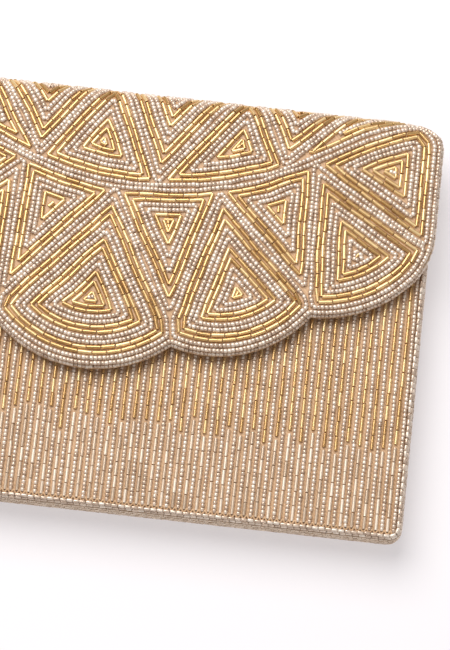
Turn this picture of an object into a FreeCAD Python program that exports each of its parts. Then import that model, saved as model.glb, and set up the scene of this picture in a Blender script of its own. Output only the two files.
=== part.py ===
"""Beaded envelope clutch: a shallow rigid pouch, a spine strip and a scalloped flap that folds over the front.

The bag lies on its back. X runs across the width, +Y towards the fold at the top edge, +Z out of the front.
The origin is on the resting face, at the middle of the bag's outline. Millimetres throughout.
"""
import FreeCAD, Part
import math
import os

os.makedirs("parts", exist_ok=True)

# ---- driving dimensions -------------------------------------------------
BODY_WIDTH = 250.0
BAG_HEIGHT = 165.0
BAG_DEPTH = 26.0
FLAP_OVERHANG = 2.3          # how far the flap stands out past each side of the body
FOLD_RADIUS = 6.0            # outer radius where the back and the flap turn onto the spine
FOLD_HALF_GAP_DEG = 5.0      # half the slit left open at each fold line
FOLD_LINE_DEG = 45.0         # where on the turn the fold line lies
BOTTOM_CORNER_RADIUS = 5.0
TOP_CORNER_RADIUS = 11.0
MOUTH_Y = 70.0               # top edge of the front panel and of the side walls

BEADING = 1.8                # one layer of glass beads
SATIN = 0.8
LINING = 0.6
BACK_BOARD = 1.6
FRONT_BOARD = 1.4
FLAP_BOARD = 1.2
FLAP_PADDING = 1.5
CAVITY = 10.2                # clear depth between the two linings
FLAP_GAP = 0.5               # air between the front beading and the flap lining
SEAM_GAP = 0.1

PIPING = 1.8                 # beaded rope along the panel seams
BINDING = 1.0
LIP = 1.2                    # rolled satin edge of the flap
OUTLINE_ROWS = 2.1           # two close rows of small beads inside the lip
BOARD_INSET = 3.0
PADDING_INSET = 3.6

# scallops of the flap's free edge, from right to left: a point on each arc, then the notch that ends it
SCALLOP_START = (BODY_WIDTH / 2 + FLAP_OVERHANG, 28.2)
SCALLOPS = (
    ((115.0, 12.3), (81.9, -0.3)),
    ((57.0, -17.8), (29.4, -17.8)),
    ((-4.0, -29.9), (-39.6, -14.5)),
    ((-64.0, -14.8), (-88.0, 1.3)),
    ((-116.0, 13.2), (-SCALLOP_START[0], 28.2)),
)

POCKET_WIDTH = 130.0
POCKET_Y = (-58.0, 34.0)
POCKET_THICKNESS = 0.5

SNAP_AT = (0.0, -6.0)
SNAP_RADIUS = 7.0
SNAP_WASHER_RADIUS = 6.0
SNAP_WASHER = 0.6
SNAP_CASE = 1.8
SNAP_SKIN = 0.35             # sheet metal around the magnet
SNAP_POST_RADIUS = 2.75
SNAP_POST_CLEARANCE = 0.45
SNAP_PLATE = 0.75
SNAP_PLATE_GAP = 0.25
SNAP_HOLE_CLEARANCE = 0.5
PRONG = (3.0, 0.5)           # width and thickness of one fixing prong
PRONG_SLOT = (3.3, 0.8)
PRONG_OFFSET = 3.4

# ---- levels and places worked out from them ------------------------------
HALF = BODY_WIDTH / 2
FLAP_HALF = HALF + FLAP_OVERHANG
BOTTOM = -BAG_HEIGHT / 2
TOP = BAG_HEIGHT / 2
FOLD_Y = TOP - FOLD_RADIUS
BACK_FOLD_Z = FOLD_RADIUS
FRONT_FOLD_Z = BAG_DEPTH - FOLD_RADIUS

BACK_SHELL_Z = BEADING
BACK_BOARD_Z = BACK_SHELL_Z + SATIN
BACK_LINING_Z = BACK_BOARD_Z + BACK_BOARD
CAVITY_Z = BACK_LINING_Z + LINING
FRONT_LINING_Z = CAVITY_Z + CAVITY
FRONT_BOARD_Z = FRONT_LINING_Z + LINING
FRONT_SHELL_Z = FRONT_BOARD_Z + FRONT_BOARD
FRONT_BEADING_Z = FRONT_SHELL_Z + SATIN
FRONT_TOP_Z = FRONT_BEADING_Z + BEADING
FLAP_LINING_Z = FRONT_TOP_Z + FLAP_GAP
FLAP_BOARD_Z = FLAP_LINING_Z + LINING
FLAP_PADDING_Z = FLAP_BOARD_Z + FLAP_BOARD
FLAP_SHELL_Z = FLAP_PADDING_Z + FLAP_PADDING
FLAP_BEADING_Z = FLAP_SHELL_Z + SATIN
FLAP_TOP_Z = FLAP_BEADING_Z + BEADING

ROOT_END_DEG = -(FOLD_LINE_DEG + FOLD_HALF_GAP_DEG)
SPINE_END_DEG = FOLD_LINE_DEG - FOLD_HALF_GAP_DEG
FLAP_END_DEG = FOLD_LINE_DEG + FOLD_HALF_GAP_DEG


# ---- small geometry helpers ----------------------------------------------
def vec(x, y, z=0.0):
    return FreeCAD.Vector(x, y, z)


def line(a, b):
    return Part.makeLine(vec(*a), vec(*b))


def arc(a, mid, b):
    return Part.Arc(vec(*a), vec(*mid), vec(*b)).toShape()


def corner(centre, radius, start_deg):
    """Quarter turn, anticlockwise from start_deg."""
    points = []
    for turn in (0.0, 45.0, 90.0):
        angle = math.radians(start_deg + turn)
        points.append((centre[0] + radius * math.cos(angle), centre[1] + radius * math.sin(angle)))
    return arc(*points)


def box(x, y, z):
    """Box from (low, high) pairs."""
    return Part.makeBox(x[1] - x[0], y[1] - y[0], z[1] - z[0], vec(x[0], y[0], z[0]))


def disc(radius, z0, z1, at=SNAP_AT):
    return Part.makeCylinder(radius, z1 - z0, vec(at[0], at[1], z0))


def rounded_face(half, low, high, low_radius, high_radius):
    """Rectangle about the Y axis with rounded bottom and top corners (a radius of 0 leaves them square)."""
    edges = [line((half, low + low_radius), (half, high - high_radius))]
    if high_radius:
        edges.append(corner((half - high_radius, high - high_radius), high_radius, 0.0))
    edges.append(line((half - high_radius, high), (high_radius - half, high)))
    if high_radius:
        edges.append(corner((high_radius - half, high - high_radius), high_radius, 90.0))
    edges.append(line((-half, high - high_radius), (-half, low + low_radius)))
    if low_radius:
        edges.append(corner((low_radius - half, low + low_radius), low_radius, 180.0))
    edges.append(line((low_radius - half, low), (half - low_radius, low)))
    if low_radius:
        edges.append(corner((half - low_radius, low + low_radius), low_radius, 270.0))
    return Part.Face(Part.Wire(edges))


def slab(face, z0, z1):
    """The face, drawn at z = 0, raised from z0 to z1."""
    raised = face.copy()
    raised.translate(vec(0.0, 0.0, z0))
    return raised.extrude(vec(0.0, 0.0, z1 - z0))


def turn(centre_z, inner, outer, start_deg, end_deg):
    """Strip of a cylinder about the line y = FOLD_Y, z = centre_z, between two angles measured from +Y."""
    length = 2 * FLAP_HALF

    def at(radius, degrees):
        angle = math.radians(degrees)
        return vec(-FLAP_HALF, FOLD_Y + radius * math.cos(angle), centre_z + radius * math.sin(angle))

    middle = (start_deg + end_deg) / 2
    edges = (
        Part.Arc(at(outer, start_deg), at(outer, middle), at(outer, end_deg)).toShape(),
        Part.makeLine(at(outer, end_deg), at(inner, end_deg)),
        Part.Arc(at(inner, end_deg), at(inner, middle), at(inner, start_deg)).toShape(),
        Part.makeLine(at(inner, start_deg), at(outer, start_deg)),
    )
    return Part.Face(Part.Wire(edges)).extrude(vec(length, 0.0, 0.0))


def save(name, shape):
    solids = shape.removeSplitter().Solids
    if not solids or not all(solid.isValid() for solid in solids):
        raise ValueError(name + " is not a valid solid")
    result = solids[0] if len(solids) == 1 else Part.makeCompound(solids)
    result.exportStep("parts/" + name + ".step")
    print(name, len(solids), round(result.Volume / 1000, 2), "cm3")


# ---- outlines --------------------------------------------------------------
def body_face(inset, high=MOUTH_Y):
    """The pouch's outline, moved in from its sides and bottom, and cut off straight at the mouth."""
    return rounded_face(HALF - inset, BOTTOM + inset, high, max(BOTTOM_CORNER_RADIUS - inset, 0.5), 0.0)


def top_clip(inset):
    """Tall block with the bag's rounded top corners, which trims the folds."""
    half = FLAP_HALF - inset
    face = rounded_face(half, BOTTOM, TOP, 0.0, TOP_CORNER_RADIUS - inset)
    return slab(face, -1.0, BAG_DEPTH + 1.0)


def flap_face(inset):
    """The flap's outline, moved in all round and cut off straight where the fold begins."""
    start = SCALLOP_START
    inner_half = FLAP_HALF - TOP_CORNER_RADIUS
    corner_y = TOP - TOP_CORNER_RADIUS
    edges = [
        line(start, (FLAP_HALF, corner_y)),
        corner((inner_half, corner_y), TOP_CORNER_RADIUS, 0.0),
        line((inner_half, TOP), (-inner_half, TOP)),
        corner((-inner_half, corner_y), TOP_CORNER_RADIUS, 90.0),
        line((-FLAP_HALF, corner_y), (-FLAP_HALF, start[1])),
    ]
    here = start
    scallop_edges = []
    for through, notch in SCALLOPS:
        scallop_edges.append(arc(here, through, notch))
        here = notch
    outline = Part.Wire(Part.__sortEdges__(edges + scallop_edges))
    face = Part.Face(outline)
    if inset:
        face = face.makeOffset2D(-inset)
    below_fold = Part.makePlane(2 * BODY_WIDTH, BAG_HEIGHT, vec(-BODY_WIDTH, FOLD_Y - BAG_HEIGHT, 0.0))
    return face.common(below_fold)


# ---- pouch -----------------------------------------------------------------
def prong_boxes(size, z0, z1):
    """The snap's two fixing prongs, or the slots that they pass through."""
    boxes = []
    for side in (-1.0, 1.0):
        x = SNAP_AT[0] + side * PRONG_OFFSET
        across = (x - size[1] / 2, x + size[1] / 2)
        along = (SNAP_AT[1] - size[0] / 2, SNAP_AT[1] + size[0] / 2)
        boxes.append(box(across, along, (z0, z1)))
    return boxes[0].fuse(boxes[1])


def back_panel():
    flat = body_face(PIPING + SEAM_GAP, FOLD_Y)
    clip = top_clip(FLAP_OVERHANG + PIPING + SEAM_GAP)
    beads = slab(flat, 0.0, BEADING)
    beads = beads.fuse(turn(BACK_FOLD_Z, FOLD_RADIUS - BEADING, FOLD_RADIUS, -90.0, ROOT_END_DEG))
    save("back_beading", beads.common(clip))

    inner = FOLD_RADIUS - BEADING - SATIN
    shell = slab(flat, BACK_SHELL_Z, BACK_BOARD_Z)
    shell = shell.fuse(turn(BACK_FOLD_Z, inner, inner + SATIN, -90.0, ROOT_END_DEG))
    save("back_shell", shell.common(clip))

    wall = BEADING + SATIN + SEAM_GAP
    save("back_board", slab(body_face(wall + LINING, FOLD_Y), BACK_BOARD_Z, BACK_LINING_Z).common(clip))
    save("back_lining", slab(body_face(wall + LINING, FOLD_Y), BACK_LINING_Z, CAVITY_Z).common(clip))


def front_panel():
    wall = BEADING + SATIN + SEAM_GAP
    case_hole = disc(SNAP_RADIUS + SNAP_HOLE_CLEARANCE, FRONT_BEADING_Z, FRONT_TOP_Z)
    save("front_beading", slab(body_face(PIPING + SEAM_GAP), FRONT_BEADING_Z, FRONT_TOP_Z).cut(case_hole))
    slots = prong_boxes(PRONG_SLOT, FRONT_LINING_Z, FRONT_BEADING_Z)
    save("front_shell", slab(body_face(PIPING + SEAM_GAP), FRONT_SHELL_Z, FRONT_BEADING_Z).cut(slots))
    washer_pocket = disc(SNAP_WASHER_RADIUS + SNAP_HOLE_CLEARANCE, FRONT_BOARD_Z, FRONT_BOARD_Z + SNAP_WASHER)
    board = slab(body_face(wall + LINING), FRONT_BOARD_Z, FRONT_SHELL_Z)
    save("front_board", board.cut(slots).cut(washer_pocket))
    save("front_lining", slab(body_face(wall + LINING), FRONT_LINING_Z, FRONT_BOARD_Z))


def gusset_layer(name, outer_inset, thickness, z0, z1):
    """One layer of the pouch wall, as a left, a bottom and a right strip that meet above the corners."""
    ring = body_face(outer_inset).cut(body_face(outer_inset + thickness, MOUTH_Y + BODY_WIDTH))
    wall = slab(ring, z0, z1)
    seam_y = BOTTOM + BOTTOM_CORNER_RADIUS
    pieces = {
        "bottom": box((-BODY_WIDTH, BODY_WIDTH), (BOTTOM, seam_y), (z0, z1)),
        "left": box((-BODY_WIDTH, 0.0), (seam_y, MOUTH_Y), (z0, z1)),
        "right": box((0.0, BODY_WIDTH), (seam_y, MOUTH_Y), (z0, z1)),
    }
    for side, region in pieces.items():
        save(side + "_gusset_" + name, wall.common(region))


def gussets():
    low = BACK_BOARD_Z
    high = FRONT_SHELL_Z
    gusset_layer("beading", 0.0, BEADING, PIPING + SEAM_GAP, FRONT_BEADING_Z - SEAM_GAP)
    gusset_layer("shell", BEADING, SATIN, low, high)
    gusset_layer("lining", BEADING + SATIN, LINING, CAVITY_Z, FRONT_LINING_Z)


def piping(name, z0):
    """Beaded rope round the left, bottom and right edges of one panel, as three straight runs and two corners."""
    ring = body_face(0.0).cut(body_face(PIPING, MOUTH_Y + BODY_WIDTH))
    save(name, slab(ring, z0, z0 + PIPING))


def mouth_binding():
    """Satin strip that covers the raw top edges of the front panel and the side walls."""
    band = (MOUTH_Y, MOUTH_Y + BINDING)
    front = box((-HALF, HALF), band, (FRONT_LINING_Z, FRONT_TOP_Z))
    inner = HALF - BEADING - SATIN - LINING
    left = box((-HALF, -inner), band, (CAVITY_Z, FRONT_LINING_Z))
    right = box((inner, HALF), band, (CAVITY_Z, FRONT_LINING_Z))
    save("mouth_binding", front.fuse(left).fuse(right))


def slip_pocket():
    half = POCKET_WIDTH / 2
    top = POCKET_Y[1] - BINDING * 2
    save("slip_pocket", box((-half, half), (POCKET_Y[0], top), (CAVITY_Z, CAVITY_Z + POCKET_THICKNESS)))
    binding_z = (CAVITY_Z, CAVITY_Z + POCKET_THICKNESS + SEAM_GAP)
    save("slip_pocket_binding", box((-half, half), (top, POCKET_Y[1]), binding_z))


def snap_socket():
    z0 = FRONT_BEADING_Z
    z1 = z0 + SNAP_CASE
    recess_radius = SNAP_POST_RADIUS + SNAP_POST_CLEARANCE
    magnet_inner = recess_radius + SNAP_SKIN
    magnet_outer = SNAP_RADIUS - SNAP_SKIN
    magnet = disc(magnet_outer, z0 + SNAP_SKIN, z1 - SNAP_SKIN).cut(disc(magnet_inner, z0, z1))
    case = disc(SNAP_RADIUS, z0, z1).cut(disc(recess_radius, z0 + SNAP_SKIN, z1)).cut(magnet)
    legs = prong_boxes(PRONG, FRONT_BOARD_Z + SNAP_WASHER, z0)
    save("snap_socket_case", case.fuse(legs))
    save("snap_magnet", magnet)
    save("snap_socket_washer", disc(SNAP_WASHER_RADIUS, FRONT_BOARD_Z, FRONT_BOARD_Z + SNAP_WASHER))


# ---- spine -----------------------------------------------------------------
def spine_layer(name, depth, thickness):
    """One layer of the strip between the fold lines: a turn, the flat top wall, and a second turn."""
    outer = FOLD_RADIUS - depth
    inner = outer - thickness
    wall = box((-FLAP_HALF, FLAP_HALF), (FOLD_Y + inner, FOLD_Y + outer), (BACK_FOLD_Z, FRONT_FOLD_Z))
    lower = turn(BACK_FOLD_Z, inner, outer, -SPINE_END_DEG, 0.0)
    upper = turn(FRONT_FOLD_Z, inner, outer, 0.0, SPINE_END_DEG)
    save(name, wall.fuse(lower).fuse(upper).common(top_clip(LIP)))


def spine():
    spine_layer("spine_beading", 0.0, BEADING)
    spine_layer("spine_shell", BEADING, SATIN)
    spine_layer("spine_lining", BEADING + SATIN, LINING)


# ---- flap ------------------------------------------------------------------
def flap():
    rows_inset = LIP + OUTLINE_ROWS
    beads = slab(flap_face(rows_inset), FLAP_BEADING_Z, FLAP_TOP_Z)
    fold = turn(FRONT_FOLD_Z, FOLD_RADIUS - BEADING, FOLD_RADIUS, FLAP_END_DEG, 90.0)
    save("flap_beading", beads.fuse(fold.common(top_clip(rows_inset))))
    outline = slab(flap_face(LIP + SEAM_GAP).cut(flap_face(rows_inset)), FLAP_BEADING_Z, FLAP_TOP_Z - SEAM_GAP)
    save("flap_outline_rows", outline)

    inner = FOLD_RADIUS - BEADING - SATIN
    shell = slab(flap_face(LIP + SEAM_GAP), FLAP_SHELL_Z, FLAP_BEADING_Z)
    fold = turn(FRONT_FOLD_Z, inner, inner + SATIN, FLAP_END_DEG, 90.0)
    save("flap_shell", shell.fuse(fold.common(top_clip(LIP + SEAM_GAP))))
    save("flap_lip", slab(flap_face(0.0).cut(flap_face(LIP)), FLAP_BOARD_Z, FLAP_BEADING_Z + LIP / 2))

    washer_hole = disc(SNAP_WASHER_RADIUS + SNAP_HOLE_CLEARANCE, FLAP_PADDING_Z, FLAP_PADDING_Z + SNAP_WASHER)
    save("flap_padding", slab(flap_face(PADDING_INSET), FLAP_PADDING_Z, FLAP_SHELL_Z).cut(washer_hole))
    slots = prong_boxes(PRONG_SLOT, FLAP_BOARD_Z, FLAP_PADDING_Z)
    save("flap_board", slab(flap_face(BOARD_INSET), FLAP_BOARD_Z, FLAP_PADDING_Z).cut(slots))
    plate_hole = disc(SNAP_RADIUS + SNAP_HOLE_CLEARANCE, FLAP_LINING_Z, FLAP_BOARD_Z)
    save("flap_lining", slab(flap_face(LIP + SEAM_GAP), FLAP_LINING_Z, FLAP_BOARD_Z).cut(plate_hole))


def snap_stud():
    case_top = FRONT_BEADING_Z + SNAP_CASE
    plate_z = case_top + SNAP_PLATE_GAP
    post_end = FRONT_BEADING_Z + SNAP_SKIN + SNAP_PLATE_GAP
    stud = disc(SNAP_RADIUS, plate_z, plate_z + SNAP_PLATE).fuse(disc(SNAP_POST_RADIUS, post_end, plate_z))
    save("snap_stud", stud.fuse(prong_boxes(PRONG, plate_z + SNAP_PLATE, FLAP_PADDING_Z)))
    save("snap_stud_washer", disc(SNAP_WASHER_RADIUS, FLAP_PADDING_Z, FLAP_PADDING_Z + SNAP_WASHER))


back_panel()
front_panel()
gussets()
piping("front_piping", FRONT_TOP_Z - PIPING)
piping("back_piping", 0.0)
mouth_binding()
slip_pocket()
snap_socket()
spine()
flap()
snap_stud()
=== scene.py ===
"""Looks of a beaded envelope clutch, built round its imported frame.

Lengths inside this script are millimetres, in the frame's own axes: X across, +Y to the fold,
+Z out of the front. The covering of the flap, spine and back is one strip of cloth, so its beads
and satin are laid out flat in (x, s): s equals y on the flap, and carries on over the top fold
and down the back as distance along the cloth.
"""
import math

import bpy
import numpy as np
from mathutils import Matrix, Vector


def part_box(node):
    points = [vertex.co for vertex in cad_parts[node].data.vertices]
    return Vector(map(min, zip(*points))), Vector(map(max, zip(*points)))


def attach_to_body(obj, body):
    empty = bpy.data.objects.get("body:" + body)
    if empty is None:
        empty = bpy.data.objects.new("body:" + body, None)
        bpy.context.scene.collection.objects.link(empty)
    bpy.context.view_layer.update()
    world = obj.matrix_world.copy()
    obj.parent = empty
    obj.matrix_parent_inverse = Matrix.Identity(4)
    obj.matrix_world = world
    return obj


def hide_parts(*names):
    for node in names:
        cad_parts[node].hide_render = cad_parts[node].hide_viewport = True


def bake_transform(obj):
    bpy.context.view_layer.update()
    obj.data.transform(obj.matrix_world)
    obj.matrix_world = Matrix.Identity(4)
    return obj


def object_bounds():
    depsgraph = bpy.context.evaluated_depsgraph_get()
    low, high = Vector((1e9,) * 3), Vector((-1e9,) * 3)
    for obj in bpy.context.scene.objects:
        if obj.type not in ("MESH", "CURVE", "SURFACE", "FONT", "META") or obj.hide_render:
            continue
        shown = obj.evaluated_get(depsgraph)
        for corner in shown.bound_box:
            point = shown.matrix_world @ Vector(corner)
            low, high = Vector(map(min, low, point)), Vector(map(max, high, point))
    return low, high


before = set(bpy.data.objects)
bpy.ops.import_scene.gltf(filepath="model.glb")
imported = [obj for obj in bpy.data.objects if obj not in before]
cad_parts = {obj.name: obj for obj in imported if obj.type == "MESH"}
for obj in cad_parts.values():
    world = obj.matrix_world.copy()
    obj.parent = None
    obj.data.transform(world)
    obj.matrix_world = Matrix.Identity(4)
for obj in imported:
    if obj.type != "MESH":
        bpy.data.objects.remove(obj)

CAD_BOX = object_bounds()
MM = 0.001
rng = np.random.default_rng(20)


def low(node, axis):
    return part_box(node)[0][axis] / MM


def high(node, axis):
    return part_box(node)[1][axis] / MM


# ---- sizes taken from the frame
TOP = CAD_BOX[1][1] / MM
BOTTOM = CAD_BOX[0][1] / MM
DEPTH = CAD_BOX[1][2] / MM
FLAP_HALF = CAD_BOX[1][0] / MM
HALF = high("right_gusset_beading", 0)
FOLD_Y = high("flap_lip", 1)
FOLD_R = TOP - FOLD_Y
MOUTH_Y = low("mouth_binding", 1)
BEAD_LAYER = high("front_beading", 2) - low("front_beading", 2)
SATIN = high("front_shell", 2) - low("front_shell", 2)
FRONT_SATIN_Z = high("front_shell", 2)
FRONT_TOP_Z = high("front_beading", 2)
CORNER_TOP = 11.0
CORNER_BOTTOM = 5.0

# ---- sizes of the embroidery
ROW_PITCH = 2.0              # between neighbouring rows of beads on the flap
COLUMN_PITCH = 2.32          # between the columns of the body
BEAD_SIDES = 8
SEED_R = 0.96
SEED_PITCH = 1.6
SEED_FILL = 0.485            # half the length of a seed, as a share of its pitch
SMALL_SEED_R = 0.9
SMALL_SEED_PITCH = 1.5
BUGLE_R = 0.86
BUGLE_PITCH = 5.5
BUGLE_GAP = 0.28
SHORTEST_BUGLES = 1.2        # a shorter row holds no bugle
BODY_SEED_R = 0.8
BODY_SEED_PITCH = 1.56
BODY_BUGLE_R = 0.7
BODY_EDGE = 2.6              # where the columns of the body stop at the sides
BODY_BASE = 3.7              # and at the bottom
GOLD_ENDS_Y = -47.5          # below this the body's bugles turn paler: a painted reflection of light from below
BACK_IN = 1.2                # how much further in the back panel's edges are
EDGE_ROW = 1.75              # from the cloth's edge to the first outline row
SIDE_ROW = 0.75              # a last row, tucked round the edge
SIDE_ROW_DEPTH = 2.5
OUTLINE_CENTRE = EDGE_ROW + ROW_PITCH / 2
SHORTEST_LOOP = 1.5          # a shorter contour holds no bead
SHORTEST_RING = 5.6          # a ring shorter than this becomes a straight row
GOLD_CORE = 18.0             # silver rings shorter than this, inside gold ones, are gold too
CORE_ROOM = 0.36             # room, in rows, that a last row in the middle of a shape needs
CORE_RING = 0.66             # how far, in rows, a last small ring lies inside its neighbour
CORE_RING_ROOM = CORE_RING + 0.06    # and the room that it needs
CORE_RING_PITCH = 2.1
CORE_RING_R = 0.72
CORE_LINE_HALF = 1.4         # a last row straight through the middle is at least twice this long
LONGEST_CORE_LOOP = 60.0     # longer loops are bands, with no row in their middle
EDGE_DROP = 1.0              # how far the padded flap falls away at its edge
EDGE_DROP_REACH = 11.0
FLAP_LIFT = 1.4              # how much thicker the padding is near the free edge
FOLD_FREE = 71.0             # where the pieces laid over the fold, left in place, take over from the ones that ride the flap
BEND_REACH = 5.0             # how far past the back fold they go
WALL_ROUND = 2.0             # radius of the padded edge between a body panel and the wall
WALL_LEAN = 1.8              # how far the wall tucks in towards the back seam
WALL_SWELL = 0.6
WALL_BELLY = 0.5             # height of the wall's fullest part, as a share of its depth
SIDE_SWELL = 0.9             # how far the sides stand out past the boards
BASE_SWELL = 0.2             # and the padded bottom past its board
WALL_ROW_PITCH = 1.32
WALL_SEED_R = 0.62
WALL_SEED_PITCH = 1.7
PIPING_R = 0.66
PIPING_PITCH = 2.5
SINK = 0.5                   # how deep the beads lie in the padded satin
FLAP_SATIN_DEPTH = BEAD_LAYER - SINK
LIP_R = 0.8
LIP_DEPTH = 3.9
LIP_POINTS = 34
BINDING_SIDES = 16
SNAP = tuple((low("snap_stud", k) + high("snap_stud", k)) / 2 for k in (0, 1))
SNAP_R = (high("snap_stud", 0) - low("snap_stud", 0)) / 2 + 0.5
PIECE_TRIANGLES = 190000

# scallops of the flap's free edge, right to left: a point on each arc, then the notch that ends it
SCALLOP_START = (FLAP_HALF, 28.2)
CORNER_EASE = 8.5            # how far up the side the outer corners start to turn
EASED_POINTS = 4             # and how many of the edge's points they take up
SCALLOPS = (
    ((115.0, 12.3), (81.9, -0.3)),
    ((57.0, -17.8), (29.4, -17.8)),
    ((-4.0, -29.9), (-39.6, -14.5)),
    ((-64.0, -14.8), (-88.0, 1.3)),
    ((-116.0, 13.2), (-FLAP_HALF, 28.2)),
)

# lines of the flap's design, in (x, s): each becomes a double row of silver beads
SWAG = ((122.0, 83.5), (108.5, 78.6), (96.0, 73.1), (83.6, 65.8), (71.3, 58.8), (58.8, 52.8),
        (46.0, 48.4), (33.3, 45.8), (20.3, 44.2), (7.4, 43.5), (-5.7, 44.0), (-19.3, 46.5),
        (-32.7, 50.9), (-47.0, 56.7), (-62.0, 61.9), (-79.0, 67.5), (-97.0, 74.3),
        (-110.0, 79.6), (-121.0, 83.5))
LOWER_ZIGZAG = ((125.0, 31.8), (119.5, 33.9), (78.4, 58.6), (79.7, 7.9), (42.1, 43.7),
                (27.8, -7.5), (1.1, 40.2), (-38.5, -5.2), (-36.5, 48.4), (-80.5, 8.5),
                (-77.0, 63.4), (-119.5, 33.9), (-125.0, 31.8))
STEMS = (((79.7, 7.9), (81.5, 2.3)), ((27.8, -7.5), (29.2, -15.3)),
         ((-38.5, -5.2), (-39.4, -11.7)), ((-80.5, 8.5), (-87.0, 3.8)))
UPPER_ZIGZAG = ((112.0, 92.9), (99.0, 92.9), (66.0, 59.6), (50.7, 92.0), (17.0, 47.4),
                (-2.0, 92.0), (-30.0, 53.6), (-54.0, 92.0), (-75.0, 70.2), (-99.0, 92.9),
                (-112.0, 92.9))


# ---- the folded strip
QUARTER = math.pi / 2 * FOLD_R
FRONT_FOLD_END = FOLD_Y + QUARTER
WALL = DEPTH - 2 * FOLD_R
WALL_END = FRONT_FOLD_END + WALL
BACK_FOLD_END = WALL_END + QUARTER
BEND_END = BACK_FOLD_END + BEND_REACH
MID_WALL = FRONT_FOLD_END + WALL / 2


def fold(x, s, h):
    """Point of the strip at flat place (x, s), h outside its outer surface."""
    x, s, h = np.broadcast_arrays(*(np.asarray(value, float) for value in (x, s, h)))
    front = np.clip((s - FOLD_Y) / FOLD_R, 0.0, math.pi / 2)
    back = np.clip((s - WALL_END) / FOLD_R, 0.0, math.pi / 2)
    angle = front + back
    down_wall = np.clip(s - FRONT_FOLD_END, 0.0, WALL)
    on_flap = np.minimum(s, FOLD_Y)
    on_back = np.maximum(s - BACK_FOLD_END, 0.0)
    y = on_flap + (FOLD_R + h) * np.sin(angle) - on_back
    z = np.where(back > 0, FOLD_R, DEPTH - FOLD_R - down_wall) + (FOLD_R + h) * np.cos(angle)
    return np.stack((x, y, z), axis=-1)


def strip_half(s):
    """Half width of the strip at s: straight sides with the bag's rounded top corners."""
    s = np.asarray(s, float)
    y = np.minimum(fold(0.0, s, 0.0)[..., 1], TOP)
    base = FLAP_HALF + (HALF - FLAP_HALF) * np.clip((s - FRONT_FOLD_END) / WALL, 0.0, 1.0)
    rise = np.clip(y - (TOP - CORNER_TOP), 0.0, CORNER_TOP)
    rise = np.where(s > FOLD_Y - CORNER_TOP, rise, 0.0)
    return base - CORNER_TOP + np.sqrt(CORNER_TOP ** 2 - rise ** 2)


def arc_points(a, mid, b, count=24):
    """Points on the circle through three points, from a to b."""
    (ax, ay), (bx, by), (cx, cy) = a, mid, b
    d = 2 * (ax * (by - cy) + bx * (cy - ay) + cx * (ay - by))
    a2, b2, c2 = ax * ax + ay * ay, bx * bx + by * by, cx * cx + cy * cy
    ux = (a2 * (by - cy) + b2 * (cy - ay) + c2 * (ay - by)) / d
    uy = (a2 * (cx - bx) + b2 * (ax - cx) + c2 * (bx - ax)) / d
    radius = math.hypot(ax - ux, ay - uy)
    start = math.atan2(ay - uy, ax - ux)
    through = (math.atan2(by - uy, bx - ux) - start) % (2 * math.pi)
    end = (math.atan2(cy - uy, cx - ux) - start) % (2 * math.pi)
    sweep = end if through < end else end - 2 * math.pi
    angles = start + sweep * np.linspace(0.0, 1.0, count)
    return np.stack((ux + radius * np.cos(angles), uy + radius * np.sin(angles)), axis=-1)


def scallop_edge():
    """The flap's free edge, right to left, with its two outer corners eased into the sides."""
    here = SCALLOP_START
    runs = []
    for through, notch in SCALLOPS:
        runs.append(arc_points(here, through, notch)[:-1])
        here = notch
    runs.append(np.array([here]))
    edge = np.concatenate(runs)
    t = np.linspace(0.0, 1.0, 9)[:-1, None]
    eased = []
    for run in (edge, edge[::-1]):
        side = run[0] + (0.0, CORNER_EASE)
        eased.append((1 - t) ** 2 * side + 2 * t * (1 - t) * run[0] + t ** 2 * run[EASED_POINTS])
    return np.concatenate((eased[0], edge[EASED_POINTS:-EASED_POINTS], eased[1][::-1]))


SCALLOP_EDGE = scallop_edge()
SIDE_S = np.concatenate((np.linspace(SCALLOP_START[1], TOP - CORNER_TOP, 6)[1:],
                         np.linspace(TOP - CORNER_TOP, FRONT_FOLD_END, 26)[1:],
                         np.linspace(FRONT_FOLD_END, BACK_FOLD_END, 8)[1:]))
STRIP_OUTLINE = np.concatenate((
    np.stack((strip_half(SIDE_S)[::-1], SIDE_S[::-1]), axis=-1),
    SCALLOP_EDGE,
    np.stack((-strip_half(SIDE_S), SIDE_S), axis=-1),
))


def distance_to(points, line):
    """Distance from each point to a polyline."""
    best = np.full(len(points), 1e9)
    for a, b in zip(line[:-1], line[1:]):
        d = b - a
        t = np.clip((points - a) @ d / max(d @ d, 1e-12), 0.0, 1.0)
        best = np.minimum(best, np.hypot(*(points - a - t[:, None] * d).T))
    return best


def long_axis(loop, middle, margin):
    """A straight line through the middle of a loop, along its longest way, short by a margin."""
    away = loop - loop.mean(axis=0)
    direction = np.linalg.eigh(away.T @ away)[1][:, 1]
    half = max(np.abs(away @ direction).max() - margin, CORE_LINE_HALF)
    return middle + direction * np.linspace(-half, half, 3)[:, None]


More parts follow.
